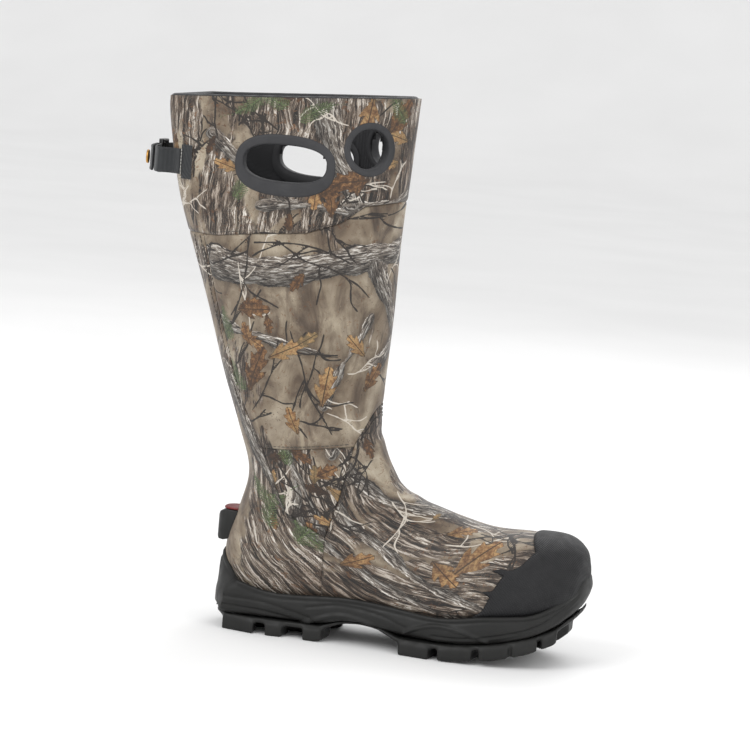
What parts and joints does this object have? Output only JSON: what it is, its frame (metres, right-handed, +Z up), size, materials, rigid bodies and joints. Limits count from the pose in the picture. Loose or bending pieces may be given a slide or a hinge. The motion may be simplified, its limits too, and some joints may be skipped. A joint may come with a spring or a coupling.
{
  "type": "insulated hunting boot",
  "caption": "Tall insulated rubber hunting boot with a camouflage fabric upper, moulded hand openings, an adjustable back gusset with a strap and buckle, a rubber toe cap and a lugged sole.",
  "frame": {"origin": "on the ground under the middle of the heel, at the flat bottom of the middle heel lug", "axes": "+X to the toe, +Y to the inner side of a right foot, +Z up along the shaft"},
  "size_m": [0.387, 0.1218, 0.438],
  "materials": {
    "camo": "rubber-coated fabric in a woodland print, satin",
    "stretch_fabric": "black stretch knit, matte",
    "toe_rubber": "fine ribbed texture, matte",
    "ring_rubber": "moulded, matte",
    "sole_rubber": "moulded, slight sheen",
    "midsole_foam": "foamed rubber, matte",
    "foam": "insulating foam, matte",
    "lining": "knitted lining, matte",
    "footbed": "fabric-covered foam",
    "board": "fibre board",
    "stiffener": "thermoplastic sheet",
    "webbing": "woven webbing",
    "hard_plastic": "moulded, glossy",
    "steel": "plated steel",
    "brass": "aged brass",
    "accent": "red moulded strip"
  },
  "bodies": {
    "boot": {"collar_panel": "camo", "gusset_panel": "stretch_fabric", "backstay_panel": "camo", "vamp_panel": "camo", "toe_cap": "toe_rubber", "shaft_panel": "camo", "ankle_quarter_outer": "camo", "ankle_quarter_inner": "camo", "insole_board": "board", "heel_counter": "stiffener", "toe_puff": "stiffener", "insulation_bootie": "foam", "lining": "lining", "footbed": "footbed", "grab_ring_outer": "ring_rubber", "grab_ring_inner": "ring_rubber", "eye_ring_outer": "ring_rubber", "eye_ring_inner": "ring_rubber", "foot_cup": "sole_rubber", "midsole": "midsole_foam", "shank": "steel", "outsole": "sole_rubber", "kick_tab": "sole_rubber", "kick_accent": "accent", "strap_tab_outer": "webbing", "strap_tab_inner": "webbing", "adjuster_strap": "webbing", "buckle_strap": "webbing", "buckle_frame": "hard_plastic", "buckle_pin": "steel"},
    "lever": {"buckle_lever": "hard_plastic"},
    "tail": {"strap_tail": "webbing", "snap_cap": "brass"}
  },
  "joints": [
    {"name": "lever_turn", "type": "hinge", "parent": "boot", "child": "lever", "pos_m": [-0.117, 0, 0.373], "axis": [0, 0, 1], "range_deg": [0, 70]},
    {"name": "tail_peel", "type": "hinge", "parent": "boot", "child": "tail", "pos_m": [-0.1193, -0.0053, 0.373], "axis": [0, 0, 1], "range_deg": [-50, 0]}
  ]
}
